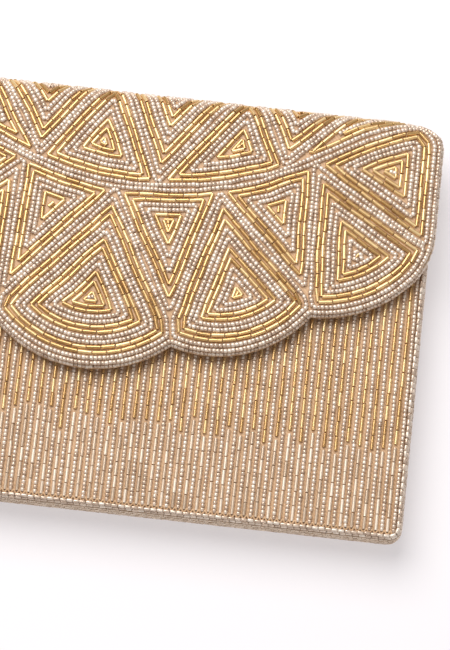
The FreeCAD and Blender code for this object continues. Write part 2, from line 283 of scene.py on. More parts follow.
class Field:
    """A value on a regular grid over the flat strip, with its contour lines."""

    STEP = 0.5
    LOW_S = -34.0                # just below the flap's lowest point

    def __init__(self):
        self.x = np.arange(-FLAP_HALF - 1.0, FLAP_HALF + 1.5, self.STEP)
        self.s = np.append(np.arange(self.LOW_S, MID_WALL, self.STEP), MID_WALL)
        x, s = np.meshgrid(self.x, self.s, indexing="ij")
        grid = np.stack((x, s), axis=-1).reshape(-1, 2)
        low_edge = np.interp(grid[:, 0], *SCALLOP_EDGE[::-1].T)
        inside = (grid[:, 1] > low_edge) & (np.abs(grid[:, 0]) < strip_half(grid[:, 1]))
        edge = distance_to(grid, STRIP_OUTLINE)
        self.edge = np.where(inside, edge, -edge).reshape(x.shape)
        near = np.min([distance_to(grid, np.array(line))
                       for line in (SWAG, LOWER_ZIGZAG, UPPER_ZIGZAG, *STEMS)], axis=0)
        waver = (0.16 * np.sin(x / 5.3 + 1.9 * np.sin(s / 7.1))
                 + 0.13 * np.sin(s / 4.1 + 2.3 * np.sin(x / 9.7)))
        self.design = np.minimum(near.reshape(x.shape) + waver, self.edge - OUTLINE_CENTRE)

    def edge_at(self, x, s):
        """Distance inside the strip's edge, at any places."""
        i = np.clip((np.asarray(x, float) - self.x[0]) / self.STEP, 0, len(self.x) - 1.001)
        j = np.clip((np.asarray(s, float) - self.s[0]) / self.STEP, 0, len(self.s) - 2.001)
        i0, j0 = i.astype(int), j.astype(int)
        fi, fj = i - i0, j - j0
        e = self.edge
        near = e[i0, j0] * (1 - fi) + e[i0 + 1, j0] * fi
        far = e[i0, j0 + 1] * (1 - fi) + e[i0 + 1, j0 + 1] * fi
        return near * (1 - fj) + far * fj

    def cores(self):
        """Short lines in the middles of shapes with room for one more row, with their levels."""
        v = self.design
        inner = v[1:-1, 1:-1]
        peak = np.ones(inner.shape, bool)
        for di in (-1, 0, 1):
            for dj in (-1, 0, 1):
                peak &= inner >= v[1 + di:v.shape[0] - 1 + di, 1 + dj:v.shape[1] - 1 + dj]
        peaks = [(inner[i, j], self.x[i + 1], self.s[j + 1])
                 for i, j in np.argwhere(peak & (inner > 0))]
        taken = []
        cores = []
        for value, x, s in sorted(peaks, reverse=True):
            level = int(value / ROW_PITCH - 0.5)
            room = value - (level + 0.5) * ROW_PITCH
            if room < CORE_ROOM * ROW_PITCH:
                continue
            if any(math.hypot(x - a, s - b) < 2 * ROW_PITCH for a, b in taken):
                continue
            taken.append((x, s))
            loop = self.loop_round(x, s, (level + 0.5) * ROW_PITCH)
            if lengths(loop)[-1] > LONGEST_CORE_LOOP:
                continue
            if room > CORE_RING_ROOM * ROW_PITCH:
                core = self.loop_round(x, s, (level + 0.5 + CORE_RING) * ROW_PITCH)
            else:
                core = long_axis(loop, np.array((x, s)), 0.8 * ROW_PITCH)
            cores.append((core, level + 1))
        return cores

    def loop_round(self, x, s, level):
        """The contour of the design that passes nearest to a place."""
        return min(self.contour(self.design, level),
                   key=lambda line: np.hypot(line[:, 0] - x, line[:, 1] - s).min())

    def contour(self, values, level):
        """Polylines where values cross level."""
        inside = values > level
        code = inside[:-1, :-1] * 1 + inside[1:, :-1] * 2 + inside[1:, 1:] * 4 + inside[:-1, 1:] * 8
        links = {}
        # which sides of a cell a line joins, for each set of corners that lie inside
        joins = {1: ((3, 0),), 2: ((0, 1),), 3: ((3, 1),), 4: ((1, 2),), 5: ((3, 0), (1, 2)),
                 6: ((0, 2),), 7: ((3, 2),), 8: ((2, 3),), 9: ((2, 0),), 10: ((0, 1), (2, 3)),
                 11: ((2, 1),), 12: ((1, 3),), 13: ((1, 0),), 14: ((0, 3),)}
        for i, j in np.argwhere((code > 0) & (code < 15)):
            sides = ((i, j, 0), (i + 1, j, 1), (i, j + 1, 0), (i, j, 1))
            for a, b in joins[int(code[i, j])]:
                links.setdefault(sides[a], []).append(sides[b])
                links.setdefault(sides[b], []).append(sides[a])

        def place(side):
            i, j, upward = side
            i1, j1 = i + 1 - upward, j + upward
            t = (level - values[i, j]) / (values[i1, j1] - values[i, j])
            return (self.x[i] + t * (self.x[i1] - self.x[i]),
                    self.s[j] + t * (self.s[j1] - self.s[j]))

        lines = []
        ends = [side for side, next_sides in links.items() if len(next_sides) == 1]
        seen = set()
        for start in ends + list(links):
            if start in seen:
                continue
            chain = [start]
            seen.add(start)
            while True:
                onward = [side for side in links[chain[-1]] if side not in seen]
                if not onward:
                    break
                chain.append(onward[0])
                seen.add(onward[0])
            points = [place(side) for side in chain]
            if len(chain) > 3 and chain[0] in links[chain[-1]]:
                points.append(points[0])
            lines.append(np.array(points))
        return lines


FIELD = Field()


def flap_surface(x, s, h):
    """Point h above the padded flap's satin level, where its edges fall away."""
    inside = np.clip(FIELD.edge_at(x, s) / EDGE_DROP_REACH, 0.0, 1.0)
    drop = EDGE_DROP * (1.0 - inside) ** 2
    lift = FLAP_LIFT * np.clip((FOLD_FREE - s) / FOLD_FREE, 0.0, 1.0)
    return fold(x, s, h - drop + lift)


# ---- rows of beads
def lengths(line):
    return np.concatenate(([0.0], np.cumsum(np.linalg.norm(np.diff(line, axis=0), axis=1))))


def at_length(line, along):
    measure = lengths(line)
    return np.stack([np.interp(along, measure, line[:, k]) for k in range(line.shape[1])], axis=-1)


def smooth_line(line, spacing=0.8):
    """The line's points set out anew at even steps."""
    total = lengths(line)[-1]
    count = max(int(total / spacing), 2)
    return at_length(line, np.linspace(0.0, total, count + 1))


def split_at_corners(line, reach=2, angle=38.0):
    """Parts of an evenly spaced line between its sharp corners."""
    if len(line) < 2 * reach + 2:
        return [line]
    closed = np.allclose(line[0], line[-1])
    ring = line[:-1] if closed else line
    places = np.arange(len(ring))
    past_ends = "wrap" if closed else "clip"
    before = ring - ring.take(places - reach, axis=0, mode=past_ends)
    after = ring.take(places + reach, axis=0, mode=past_ends) - ring
    turn = np.abs(np.arctan2(before[:, 0] * after[:, 1] - before[:, 1] * after[:, 0],
                             (before * after).sum(1)))
    if not closed:
        turn[:reach] = 0.0
        turn[-reach:] = 0.0
    near = range(-reach, reach + 1)
    corners = [k for k in range(len(ring)) if turn[k] > math.radians(angle)
               and turn[k] == turn[[(k + d) % len(ring) for d in near]].max()]
    if not corners:
        return [line]
    if closed:
        ring = np.roll(ring, -corners[0], axis=0)
        line = np.concatenate((ring, ring[:1]))
        cuts = [0] + [c - corners[0] for c in corners[1:]] + [len(line) - 1]
    else:
        cuts = [0] + corners + [len(line) - 1]
    return [line[a:b + 1] for a, b in zip(cuts[:-1], cuts[1:]) if b > a]


class Beads:
    """Centres, directions and sizes of many beads of one kind."""

    def __init__(self):
        self.rows = []

    def add(self, centres, directions, half_length, radius):
        count = len(centres)
        if not count:
            return
        long = np.linalg.norm(directions, axis=1, keepdims=True)
        directions = directions / np.maximum(long, 1e-9)
        half_length = np.broadcast_to(half_length, (count,))
        radius = np.broadcast_to(radius, (count,)) * rng.uniform(0.95, 1.04, count)
        self.rows.append(np.column_stack(
            (centres, directions, half_length, radius, rng.random(count))))

    def all(self):
        return np.concatenate(self.rows) if self.rows else np.zeros((0, 9))


def seeds_along(beads, line, place, pitch=SEED_PITCH, radius=SEED_R):
    """Seed beads threaded along a flat line; place turns flat points into space."""
    total = lengths(line)[-1]
    count = int(round(total / pitch))
    if count < 1:
        return
    step = total / count
    centre = (np.arange(count) + 0.5) * step + rng.normal(0.0, 0.04, count)
    centre = np.clip(centre, 0.0, total)
    a = place(at_length(line, np.maximum(centre - 0.3, 0.0)))
    b = place(at_length(line, np.minimum(centre + 0.3, total)))
    middle = (a + b) / 2 + rng.normal(0.0, 0.05, (count, 3))
    direction = b - a + rng.normal(0.0, 0.03, (count, 3))
    beads.add(middle, direction, min(step, pitch) * SEED_FILL, radius)


def bugles_along(beads, line, place, pitch=BUGLE_PITCH, radius=BUGLE_R):
    """Tube beads threaded along a flat line."""
    total = lengths(line)[-1]
    if total < SHORTEST_BUGLES:
        return
    count = max(int(round(total / pitch)), 1)
    cuts = np.linspace(0.0, total, count + 1)
    cuts[1:-1] += rng.normal(0.0, 0.22, count - 1)
    a = place(at_length(line, cuts[:-1] + BUGLE_GAP / 2))
    b = place(at_length(line, cuts[1:] - BUGLE_GAP / 2))
    shift = rng.normal(0.0, 0.06, (count, 3))
    beads.add((a + b) / 2 + shift, b - a, np.linalg.norm(b - a, axis=1) / 2, radius)


def lathe(profile, flat_from):
    """Unit bead from a closed (radius, height) profile: vertices, quads and which are smooth."""
    angles = np.arange(BEAD_SIDES) / BEAD_SIDES * 2 * math.pi
    vertices = np.array([(r * math.cos(a), r * math.sin(a), z) for r, z in profile for a in angles])
    quads = []
    smooth = []
    for k in range(len(profile)):
        here = k * BEAD_SIDES
        above = (k + 1) % len(profile) * BEAD_SIDES
        for m in range(BEAD_SIDES):
            w = (m + 1) % BEAD_SIDES
            quads.append((here + m, here + w, above + w, above + m))
            smooth.append(k < flat_from)
    return vertices, np.array(quads), np.array(smooth)


SEED_SHAPE = lathe(((0.8, -1.0), (1.0, -0.68), (1.0, 0.68), (0.8, 1.0), (0.32, 0.86),
                    (0.32, -0.86)), 6)
BUGLE_SHAPE = lathe(((0.88, -1.0), (1.0, -0.96), (1.0, -0.93), (1.0, 0.93), (1.0, 0.96),
                     (0.88, 1.0), (0.45, 0.98), (0.45, -0.98)), 5)


def new_object(name, data):
    made = bpy.data.objects.new(name, data)
    bpy.context.collection.objects.link(made)
    return made


def bead_mesh(name, rows, shape):
    """One mesh of many beads, with a random value per bead for its material."""
    template, quads, smooth = shape
    count = len(rows)
    axis = rows[:, 3:6]
    helper = np.where(np.abs(axis[:, 2:3]) < 0.9, (0.0, 0.0, 1.0), (1.0, 0.0, 0.0))
    side = np.cross(helper, axis)
    side /= np.linalg.norm(side, axis=1, keepdims=True)
    other = np.cross(axis, side)
    half, radius = rows[:, 6:7], rows[:, 7:8]
    points = (rows[:, None, 0:3]
              + template[None, :, 0:1] * (side * radius)[:, None, :]
              + template[None, :, 1:2] * (other * radius)[:, None, :]
              + template[None, :, 2:3] * (axis * half)[:, None, :])
    vertices = (points.reshape(-1, 3) * MM).astype(np.float32)
    faces = (quads[None] + (np.arange(count) * len(template))[:, None, None]).reshape(-1, 4)
    mesh = bpy.data.meshes.new(name)
    mesh.vertices.add(len(vertices))
    mesh.vertices.foreach_set("co", vertices.ravel())
    mesh.loops.add(faces.size)
    mesh.loops.foreach_set("vertex_index", faces.ravel().astype(np.int32))
    mesh.polygons.add(len(faces))
    mesh.polygons.foreach_set("loop_start", np.arange(0, faces.size, 4, dtype=np.int32))
    mesh.polygons.foreach_set("use_smooth", np.tile(smooth, count))
    mesh.update(calc_edges=True)
    tint = mesh.attributes.new("tint", "FLOAT", "POINT")
    tint.data.foreach_set("value", np.repeat(rows[:, 8], len(template)).astype(np.float32))
    return new_object(name, mesh)


def bead_pieces(name, beads, shape, material, slot, attach):
    """The beads as meshes of a moderate size, split along x, each attached to its body or left in
    place over a fold.
    """
    rows = beads.all()
    if not len(rows):
        return []
    rows = rows[np.argsort(rows[:, 0], kind="stable")]
    per_piece = PIECE_TRIANGLES // (len(shape[1]) * 2)
    parts = np.array_split(rows, math.ceil(len(rows) / per_piece))
    made = []
    for number, part in enumerate(parts):
        piece = bead_mesh(name if len(parts) == 1 else f"{name}_{number + 1}", part, shape)
        piece.data.materials.append(material)
        attach(piece)
        made.append(piece)
    return made


# ---- how pieces are placed: riding a body, or left in place over the folds
def rides(body):
    return lambda piece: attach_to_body(piece, body)


def over_front_fold(piece):
    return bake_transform(piece)


def over_back_fold(piece):
    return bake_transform(piece)


# ---- materials
class Nodes:
    """Short way to build one material's node tree."""

    def __init__(self, name):
        self.material = bpy.data.materials.new(name)
        self.material.use_nodes = True
        self.tree = self.material.node_tree
        self.shader = self.tree.nodes["Principled BSDF"]

    def node(self, kind, inputs=None, **settings):
        made = self.tree.nodes.new(kind)
        for key, value in settings.items():
            setattr(made, key, value)
        for key, value in (inputs or {}).items():
            if isinstance(value, bpy.types.NodeSocket):
                self.tree.links.new(value, made.inputs[key])
            else:
                made.inputs[key].default_value = value
        return made

    def set(self, **values):
        for key, value in values.items():
            socket = self.shader.inputs[key.replace("_", " ")]
            if isinstance(value, bpy.types.NodeSocket):
                self.tree.links.new(value, socket)
            else:
                socket.default_value = value

    def ramp(self, value, stops):
        made = self.node("ShaderNodeValToRGB", {"Fac": value})
        elements = made.color_ramp.elements
        while len(elements) < len(stops):
            elements.new(0.5)
        for element, (place, colour) in zip(elements, stops):
            element.position = place
            element.color = (*colour, 1.0)
        return made.outputs["Color"]

    def place(self):
        return self.node("ShaderNodeTexCoord").outputs["Object"]

    def noise(self, scale, detail=3.0):
        return self.node("ShaderNodeTexNoise", {"Vector": self.place(), "Scale": scale,
                                                "Detail": detail}).outputs["Fac"]

    def wave(self, scale, distortion, direction):
        return self.node("ShaderNodeTexWave", {"Vector": self.place(), "Scale": scale,
                                               "Distortion": distortion},
                         bands_direction=direction).outputs["Fac"]

    def math(self, operation, a, b):
        return self.node("ShaderNodeMath", {0: a, 1: b}, operation=operation).outputs["Value"]

    def between(self, value, least, most):
        return self.node("ShaderNodeMapRange", {"Value": value, "To Min": least,
                                                "To Max": most}).outputs["Result"]

    def bump(self, height, distance, strength=1.0):
        made = self.node("ShaderNodeBump", {"Height": height, "Distance": distance,
                                            "Strength": strength})
        self.tree.links.new(made.outputs["Normal"], self.shader.inputs["Normal"])


def bead_material(name, dark, mid, bright, metallic, roughness):
    n = Nodes(name)
    tint = n.node("ShaderNodeAttribute", attribute_name="tint").outputs["Fac"]
    n.set(Base_Color=n.ramp(tint, ((0.0, dark), (0.45, mid), (1.0, bright))), Metallic=metallic,
          Roughness=n.between(tint, roughness * 0.75, roughness * 1.3),
          Coat_Weight=0.5, Coat_Roughness=0.1)
    n.bump(n.noise(900.0), 0.00004, 0.6)
    return n.material


def satin_material(name, dark, light, thread_mm=0.22, roughness=0.42):
    n = Nodes(name)
    scale = math.pi / (thread_mm * MM) / 20.0
    weave = n.math("MULTIPLY", n.wave(scale, 0.6, "X"), n.wave(scale * 0.55, 0.8, "DIAGONAL"))
    mixed = n.math("MULTIPLY", n.math("ADD", weave, n.noise(60.0, 4.0)), 0.6)
    n.set(Base_Color=n.ramp(mixed, ((0.15, dark), (0.85, light))), Roughness=roughness,
          Sheen_Weight=0.35, Sheen_Roughness=0.4)
    n.bump(weave, 0.00006, 0.7)
    return n.material


def fibre_material(name, stops, mottle, roughness, sheen, grain, height):
    n = Nodes(name)
    n.set(Base_Color=n.ramp(n.noise(*mottle), stops), Roughness=roughness, Sheen_Weight=sheen)
    n.bump(n.noise(*grain), height)
    return n.material


def metal_material(name, colour, roughness):
    n = Nodes(name)
    fine = n.noise(1200.0)
    n.set(Base_Color=(*colour, 1.0), Metallic=1.0,
          Roughness=n.between(fine, roughness * 0.7, roughness * 1.5))
    n.bump(fine, 0.00002, 0.5)
    return n.material


# each look with its slot; the beads' looks also have their shape
SILVER = bead_material("silver_lined_seed", (0.621, 0.458, 0.338), (0.785, 0.61, 0.469),
                       (0.92, 0.79, 0.66), 0.45, 0.3)
GOLD = bead_material("gold_bugle", (0.572, 0.329, 0.117), (0.731, 0.456, 0.18),
                     (0.933, 0.678, 0.339), 0.68, 0.27)
# paler bugles: the gold bugles with a painted reflection of light from below in their colour
SHEEN_PAINTED = bead_material("sheen_painted_bugle", (0.654, 0.491, 0.349), (0.807, 0.632, 0.469),
                     (0.959, 0.818, 0.665), 0.5, 0.34)
BRONZE = bead_material("bronze_seed", (0.371, 0.229, 0.12), (0.61, 0.436, 0.283),
                       (0.937, 0.785, 0.621), 0.45, 0.34)
SILVER_SEEDS = (SEED_SHAPE, SILVER, "silver_beads")
BRONZE_SEEDS = (SEED_SHAPE, BRONZE, "glass_beads")
GOLD_BUGLES = (BUGLE_SHAPE, GOLD, "glass_beads")
SHEEN_PAINTED_BUGLES = (BUGLE_SHAPE, SHEEN_PAINTED, "glass_beads")
PEACH = (satin_material("peach_satin", (0.498, 0.297, 0.148), (0.806, 0.53, 0.307)), "satin")
LINING = (satin_material("lining_satin", (0.62, 0.48, 0.36), (0.82, 0.70, 0.58), 0.3, 0.5),
          "lining")
BOARD = fibre_material("grey_board", ((0.3, (0.40, 0.33, 0.25)), (0.75, (0.62, 0.54, 0.43))),
                       (700.0, 6.0), 0.9, 0.0, (1500.0, 4.0), 0.00008)
WADDING = fibre_material("cotton_wadding", ((0.3, (0.72, 0.69, 0.63)), (0.7, (0.92, 0.90, 0.86))),
                         (300.0, 8.0), 0.95, 0.5, (600.0, 8.0), 0.0004)
NICKEL = metal_material("polished_nickel", (0.78, 0.75, 0.70), 0.18)
MAGNET = metal_material("magnet_steel", (0.30, 0.30, 0.31), 0.4)
FRAME_LOOKS = {"board": BOARD, "washer": NICKEL, "case": NICKEL, "stud": NICKEL,
               "magnet": MAGNET, "padding": WADDING}

for node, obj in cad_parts.items():
    look = FRAME_LOOKS.get(node.split("_")[-1])
    if look and obj.material_slots:
        obj.material_slots[0].material = look
    elif look:
        obj.data.materials.append(look)


# ---- cloth pieces
def mesh_piece(name, vertices, faces, material, slot):
    mesh = bpy.data.meshes.new(name)
    mesh.from_pydata((np.asarray(vertices) * MM).tolist(), [], faces)
    mesh.polygons.foreach_set("use_smooth", [True] * len(mesh.polygons))
    mesh.materials.append(material)
    mesh.update()
    piece = new_object(name, mesh)
    return piece


def skin(name, outer, inner, material, slot):
    """Closed piece between two grids of points that face away from each other."""
    rows, columns = outer.shape[:2]
    vertices = np.concatenate((outer.reshape(-1, 3), inner.reshape(-1, 3)))
    under = rows * columns

    def at(i, j):
        return i * columns + j

    faces = []
    for i in range(rows - 1):
        for j in range(columns - 1):
            quad = (at(i, j), at(i + 1, j), at(i + 1, j + 1), at(i, j + 1))
            faces.append(quad)
            faces.append(tuple(under + k for k in reversed(quad)))
    rim = ([at(i, 0) for i in range(rows)] + [at(rows - 1, j) for j in range(1, columns)]
           + [at(i, columns - 1) for i in range(rows - 2, -1, -1)]
           + [at(0, j) for j in range(columns - 2, 0, -1)])
    for a, b in zip(rim, rim[1:] + rim[:1]):
        faces.append((b, a, under + a, under + b))
    return mesh_piece(name, vertices, faces, material, slot)


def tube(name, path, radius, segments=10, twist=0.0):
    """Round satin cord along a path, capped at its ends; twist makes slight rolled pleats."""
    count = len(path)
    along = np.gradient(path, axis=0)
    along /= np.maximum(np.linalg.norm(along, axis=1, keepdims=True), 1e-9)
    up = np.tile([[0.0, 0.0, 1.0]], (count, 1))
    up[np.abs(along[:, 2]) > 0.9] = (0.0, 1.0, 0.0)
    side = np.cross(along, up)
    side /= np.linalg.norm(side, axis=1, keepdims=True)
    up = np.cross(side, along)
    angles = np.arange(segments) / segments * 2 * math.pi
    size = radius * (1.0 + twist * np.sin(lengths(path)[:, None] * 2.4 + 2 * angles[None, :]))
    vertices = (path[:, None] + side[:, None] * (np.cos(angles) * size)[..., None]
                + up[:, None] * (np.sin(angles) * size)[..., None])
    faces = []
    for here in range(0, (count - 1) * segments, segments):
        for m in range(segments):
            w = (m + 1) % segments
            faces.append((here + m, here + segments + m, here + segments + w, here + w))
    faces.append(tuple(range(segments)))
    faces.append(tuple((count - 1) * segments + m for m in reversed(range(segments))))
    return mesh_piece(name, vertices.reshape(-1, 3), faces, *PEACH)


def ripple(x, y, size, wave):
    """Gentle uneven swell of cloth."""
    return size * (np.sin(x / wave + 1.7 * np.sin(y / wave / 1.9))
                   + np.sin(y / wave * 1.31 + x / wave * 0.41)) / 2


def grid(across, along):
    return np.meshgrid(across, along, indexing="ij")


# ---- flap
def strip_grid(inset, s_end, count_x=200, count_s=90):
    """Flat grid over the flap from its scalloped edge to s_end, moved in from the edge."""
    share = np.linspace(-1.0, 1.0, count_x)
    low_edge = inset * 1.1 + np.interp(share * (FLAP_HALF - inset), *SCALLOP_EDGE[::-1].T)
    t = np.linspace(0.0, 1.0, count_s) ** 0.85
    s = low_edge[:, None] + (s_end - low_edge[:, None]) * t[None, :]
    x = share[:, None] * (strip_half(s) - inset)
    return x, s


def make_flap_cloth():
    x, s = strip_grid(1.2, MID_WALL)
    satin = skin("flap_satin", flap_surface(x, s, -FLAP_SATIN_DEPTH),
                 flap_surface(x, s, -BEAD_LAYER - SATIN), *PEACH)
    over_front_fold(satin)
    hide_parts("flap_shell", "flap_beading", "spine_shell", "spine_beading")

    x, s = strip_grid(2.6, FOLD_Y - 1.0, 150, 60)
    top = flap_surface(x, s, -BEAD_LAYER - SATIN - 0.05)
    bottom = top.copy()
    bottom[..., 2] = np.minimum(low("flap_padding", 2), top[..., 2] - 0.3)
    pad = skin("flap_padding_crowned", top, bottom, WADDING, "wadding")
    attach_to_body(pad, "flap")
    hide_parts("flap_padding")

    x, s = strip_grid(1.0, FOLD_FREE, 150, 60)
    level = low("flap_lining", 2)
    under = np.stack((x, s, np.full(x.shape, level) + 0.12 + ripple(x, s, 0.1, 9.0)), axis=-1)
    over = under + (0.0, 0.0, 0.4)
    hole = np.hypot(x - SNAP[0], s - SNAP[1]) < SNAP_R
    under[hole, 2] = level + 0.55
    over[hole, 2] = level + 0.58
    lining = skin("flap_lining_satin", over, under, *LINING)
    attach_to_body(lining, "flap")
    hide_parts("flap_lining")


def is_gold(line, level):
    """Two silver rows and two gold ones by turns; the smallest rings keep to gold."""
    return level % 4 in (1, 2) or (level % 4 == 3 and lengths(line)[-1] < GOLD_CORE)


def make_flap_beads():
    flat_silver, flat_gold, fold_silver, fold_gold = Beads(), Beads(), Beads(), Beads()

    def at_depth(depth):
        return lambda points: flap_surface(points[:, 0], points[:, 1], -depth)

    def spread(line, threader, flat, bent, depth=BEAD_LAYER / 2, **sizes):
        """Threads a row, in the flat beads or, near the fold, in the ones laid over it."""
        made = Beads()
        threader(made, line, at_depth(depth), **sizes)
        for row in made.rows:
            bends = row[:, 1] > FOLD_FREE
            flat.rows.append(row[~bends])
            bent.rows.append(row[bends])

    small = {"pitch": SMALL_SEED_PITCH, "radius": SMALL_SEED_R}
    for line in FIELD.contour(FIELD.edge, EDGE_ROW):
        spread(smooth_line(line), seeds_along, flat_silver, fold_silver, **small)
    spread(smooth_line(FIELD.contour(FIELD.edge, SIDE_ROW)[0]), seeds_along,
           flat_silver, fold_silver, SIDE_ROW_DEPTH, **small)
    deepest = FIELD.design.max()
    tiny = []
    level = 0
    while (level + 0.5) * ROW_PITCH < deepest:
        for line in FIELD.contour(FIELD.design, (level + 0.5) * ROW_PITCH):
            if lengths(line)[-1] < SHORTEST_LOOP:
                continue
            if lengths(line)[-1] < SHORTEST_RING:
                tiny.append((long_axis(line, line.mean(axis=0), 0.0), level))
                continue
            for part in split_at_corners(smooth_line(line)):
                if is_gold(line, level):
                    spread(part, bugles_along, flat_gold, fold_gold)
                else:
                    spread(part, seeds_along, flat_silver, fold_silver)
        level += 1
    for line, level in tiny + FIELD.cores():
        if is_gold(line, level):
            spread(line, bugles_along, flat_gold, fold_gold,
                   pitch=CORE_RING_PITCH, radius=CORE_RING_R)
        else:
            spread(line, seeds_along, flat_silver, fold_silver)
    bead_pieces("flap_seed_beads", flat_silver, *SILVER_SEEDS, rides("flap"))
    bead_pieces("flap_bugle_beads", flat_gold, *GOLD_BUGLES, rides("flap"))
    bead_pieces("fold_seed_beads", fold_silver, *SILVER_SEEDS, over_front_fold)
    bead_pieces("fold_bugle_beads", fold_gold, *GOLD_BUGLES, over_front_fold)


def make_lip():
    """Rolled satin edge: along the flap, over the front fold, and down to the back."""
    edge = smooth_line(FIELD.contour(FIELD.edge, LIP_R)[0], 0.7)
    if edge[0, 0] < 0:
        edge = edge[::-1]
    space = flap_surface(edge[:, 0], edge[:, 1], -LIP_DEPTH)
    lip = tube("flap_lip_rolled", space[edge[:, 1] <= FOLD_FREE], LIP_R, twist=0.05)
    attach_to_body(lip, "flap")
    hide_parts("flap_lip", "flap_outline_rows")
    for side, name in ((1.0, "right"), (-1.0, "left")):
        for part, start, end, surface, bend in (
                ("fold", FOLD_FREE - 0.7, MID_WALL, flap_surface, over_front_fold),
                ("spine", MID_WALL, BEND_END, fold, over_back_fold)):
            s = np.linspace(start, end, LIP_POINTS)
            path = surface(side * (strip_half(s) - LIP_R), s, -LIP_DEPTH)
            bend(tube(f"{name}_{part}_lip", path, LIP_R, twist=0.05))


# ---- lining round the inside of the spine
def make_spine_lining():
    radius = 3.2
    inner_y = TOP - BEAD_LAYER - SATIN - 0.6
    top_z = low("flap_lining", 2) + 0.3
    bottom_z = high("back_lining", 2) - 0.3
    middle = (top_z + bottom_z) / 2
    turn = np.linspace(0.0, math.pi / 2, 9)
    upper = [(y, top_z) for y in np.linspace(FOLD_FREE - 1.0, inner_y - radius, 5)[:-1]]
    upper += [(inner_y - radius + radius * math.sin(a), top_z - radius + radius * math.cos(a))
              for a in turn]
    upper += [(inner_y, z) for z in np.linspace(top_z - radius, middle, 5)[1:]]
    lower = [(inner_y, z) for z in np.linspace(middle, bottom_z + radius, 5)[:-1]]
    lower += [(inner_y - radius + radius * math.cos(a), bottom_z + radius - radius * math.sin(a))
              for a in turn]
    lower += [(y, bottom_z) for y in np.linspace(inner_y - radius, FOLD_FREE - 6.0, 6)[1:]]
    share = np.linspace(-1.0, 1.0, 120)
    for name, path, bend in (("spine_lining_upper", upper, over_front_fold),
                             ("spine_lining_lower", lower, over_back_fold)):
        path = np.array(path)
        along = np.gradient(path, axis=0)
        along /= np.linalg.norm(along, axis=1, keepdims=True)
        normal = np.stack((along[:, 1], -along[:, 0]), axis=-1)
        half = strip_half(np.interp(path[:, 0], (0.0, TOP), (0.0, FRONT_FOLD_END))) - 1.3
        if bend is over_back_fold:
            half = np.where(path[:, 0] < MOUTH_Y + 1.0, HALF - 2.7, np.minimum(half, HALF - 1.3))
        x = share[:, None] * half[None, :]
        y, z = (np.broadcast_to(path[:, k], x.shape) for k in (0, 1))
        wave = ripple(x, y + z, 0.15, 7.0)
        outer, inner = (np.stack((x, y + normal[:, 0] * thick, z + normal[:, 1] * thick), axis=-1)
                        for thick in (wave + 0.2, wave - 0.2))
        piece = skin(name, inner, outer, *LINING)
        bend(piece)
        if name == "spine_lining_upper":
            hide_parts("spine_lining")


# ---- pouch
def perimeter(inset, step=1.5, count=None):
    """The pouch's outline from the left mouth corner, round the bottom, to the right one."""
    half = HALF + SIDE_SWELL - inset
    base = BOTTOM - BASE_SWELL + inset
    r = CORNER_BOTTOM - inset
    straight = np.arange(MOUTH_Y, base + r, -step)
    turn = np.linspace(0.0, math.pi / 2, 7)
    points = [(-half, y) for y in straight]
    points += [(-half + r - r * math.cos(a), base + r - r * math.sin(a)) for a in turn]
    points += [(x, base) for x in np.arange(-half + r + step, half - r, step)]
    points += [(half - r + r * math.sin(a), base + r - r * math.cos(a)) for a in turn]
    points += [(half, y) for y in straight[::-1]]
    points = np.array(points)
    if count is None:
        return points
    return at_length(points, np.linspace(0.0, lengths(points)[-1], count))


def panel_drop(x, y, reach=6.0, drop=0.9):
    """How far a padded body panel falls away towards its sides and bottom."""
    edge = np.minimum(HALF - np.abs(x), y - BOTTOM)
    return drop * (1.0 - np.clip(edge / reach, 0.0, 1.0)) ** 2


def wall_profile(depth):
    """(inset, z) points down the side wall, from the front seam to the back one, at a depth."""
    top, base = FRONT_TOP_Z - depth, depth
    z = top + (base - top) * (1.0 - np.cos(np.linspace(0.0, math.pi, 40))) / 2
    belly = base + (top - base) * WALL_BELLY
    upper = z > belly
    t = np.where(upper, (z - belly) / (top - belly), (belly - z) / (belly - base))
    turn_in = np.where(upper, WALL_ROUND, WALL_LEAN) * (1.0 - (1.0 - t ** 2) ** 0.5)
    share = np.where(upper, 1.0 - depth / WALL_ROUND / 2, 1.0)
    return np.column_stack((depth - WALL_SWELL + turn_in * share, z))


